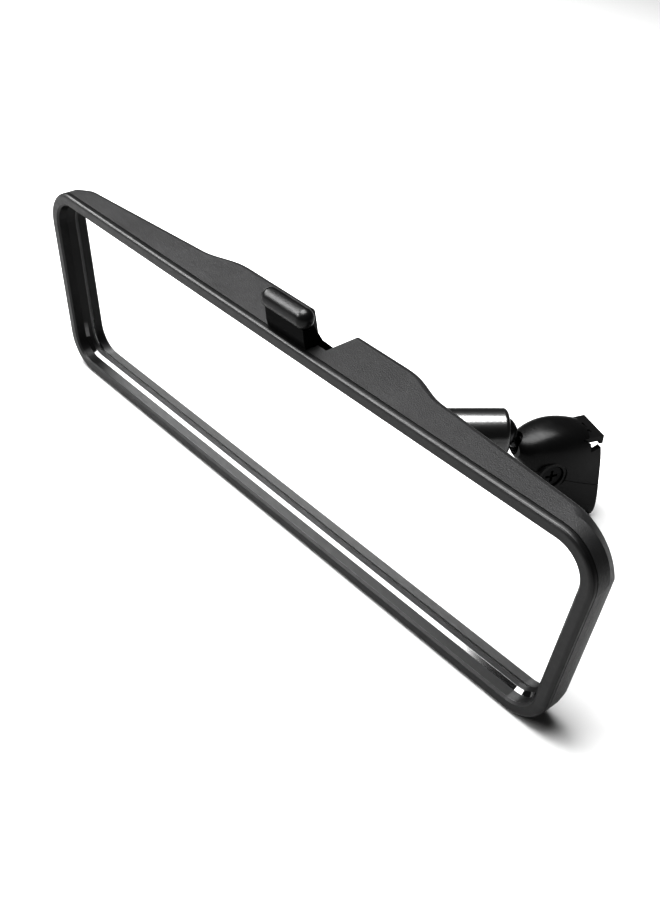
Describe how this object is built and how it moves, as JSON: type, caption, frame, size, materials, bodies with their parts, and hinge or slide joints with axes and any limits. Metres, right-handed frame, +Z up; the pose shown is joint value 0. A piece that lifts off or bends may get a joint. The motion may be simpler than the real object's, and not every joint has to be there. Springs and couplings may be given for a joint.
{
  "type": "interior rearview mirror",
  "caption": "Interior rear-view mirror: long framed mirror head with a day/night lever, a short tube arm with ball joints, and a wedge-shaped windscreen base.",
  "frame": {"origin": "on the windscreen mounting face, 2 mm above the top of the button slot", "axes": "+X along the mirror head, +Z up with the day/night lever on top, +Y from the glass towards the windscreen"},
  "size_m": [0.2464, 0.1017, 0.0914],
  "materials": {
    "grained_plastic": "fine moulded grain, satin",
    "bezel_plastic": "smooth satin black",
    "cover_plastic": "fine moulded grain, satin",
    "lever_plastic": "semi-gloss black",
    "tube_paint": "gloss black",
    "steel": "plain zinc-plated",
    "ball_metal": "blackened turned steel",
    "black_steel": "blackened screw",
    "core_metal": "die-cast, black",
    "nylon": "black nylon",
    "frame_plastic": "plain",
    "foam": "open-cell foam",
    "glass": "polished",
    "mirror_coat": "silvered"
  },
  "bodies": {
    "base": {"base_cover_upper": "cover_plastic", "base_cover_lower": "cover_plastic", "base_core": "core_metal", "base_ball_stud": "ball_metal", "base_screw": "black_steel", "cover_tongue": "cover_plastic", "lock_spring": "steel"},
    "base_liner": {"base_ball_liner": "nylon"},
    "base_cup": {"base_ball_cup": "nylon"},
    "arm": {"arm_tube": "tube_paint", "arm_spring": "steel", "spring_washers": "steel"},
    "head_cup": {"head_ball_cup": "nylon"},
    "head_liner": {"head_ball_liner": "nylon"},
    "bracket": {"ball_bracket": "steel", "head_ball_stud": "ball_metal", "tilt_pivot_pin": "steel"},
    "head": {"bezel": "bezel_plastic", "housing": "grained_plastic", "mirror_glass": "glass", "reflective_coat": "mirror_coat", "foam_pad": "foam", "mechanism_frame": "frame_plastic", "frame_screws": "steel", "lever_pivot_pin": "steel", "detent_spring": "steel"},
    "lever": {"toggle_lever": "lever_plastic", "lever_grip": "lever_plastic", "drive_pin": "steel"}
  },
  "joints": [
    {"name": "base_swing", "type": "hinge", "parent": "base", "child": "base_liner", "pos_m": [-0.01286, -0.03121, 0.0143], "axis": [0, 0, 1], "range_deg": [-8, 35]},
    {"name": "base_nod", "type": "hinge", "parent": "base_liner", "child": "base_cup", "pos_m": [-0.01286, -0.03121, 0.0143], "axis": [0.7822, -0.6231, 0], "range_deg": [-55, 2]},
    {"name": "base_roll", "type": "hinge", "parent": "base_cup", "child": "arm", "pos_m": [-0.01286, -0.03121, 0.0143], "axis": [0.623, 0.7821, 0.0176], "range_deg": [-90, 90]},
    {"name": "head_roll", "type": "hinge", "parent": "arm", "child": "head_cup", "pos_m": [-0.0483, -0.0757, 0.0133], "axis": [0.623, 0.7821, 0.0176], "range_deg": [-45, 45]},
    {"name": "head_swing", "type": "hinge", "parent": "head_cup", "child": "head_liner", "pos_m": [-0.0483, -0.0757, 0.0133], "axis": [0, 0, 1], "range_deg": [-75, 7]},
    {"name": "head_nod", "type": "hinge", "parent": "head_liner", "child": "bracket", "pos_m": [-0.0483, -0.0757, 0.0133], "axis": [1, 0, 0], "range_deg": [-12, 12]},
    {"name": "night_tilt", "type": "hinge", "parent": "bracket", "child": "head", "pos_m": [-0.0483, -0.0828, -0.0021], "axis": [1, 0, 0], "range_deg": [0, 4.5]},
    {"name": "lever_flip", "type": "hinge", "parent": "head", "child": "lever", "pos_m": [-0.04155, -0.0828, 0.0411], "axis": [-1, 0, 0], "range_deg": [0, 40.5]}
  ],
  "couplings": [
    {"joint": "lever_flip", "follows": "night_tilt", "ratio": 8.98}
  ]
}
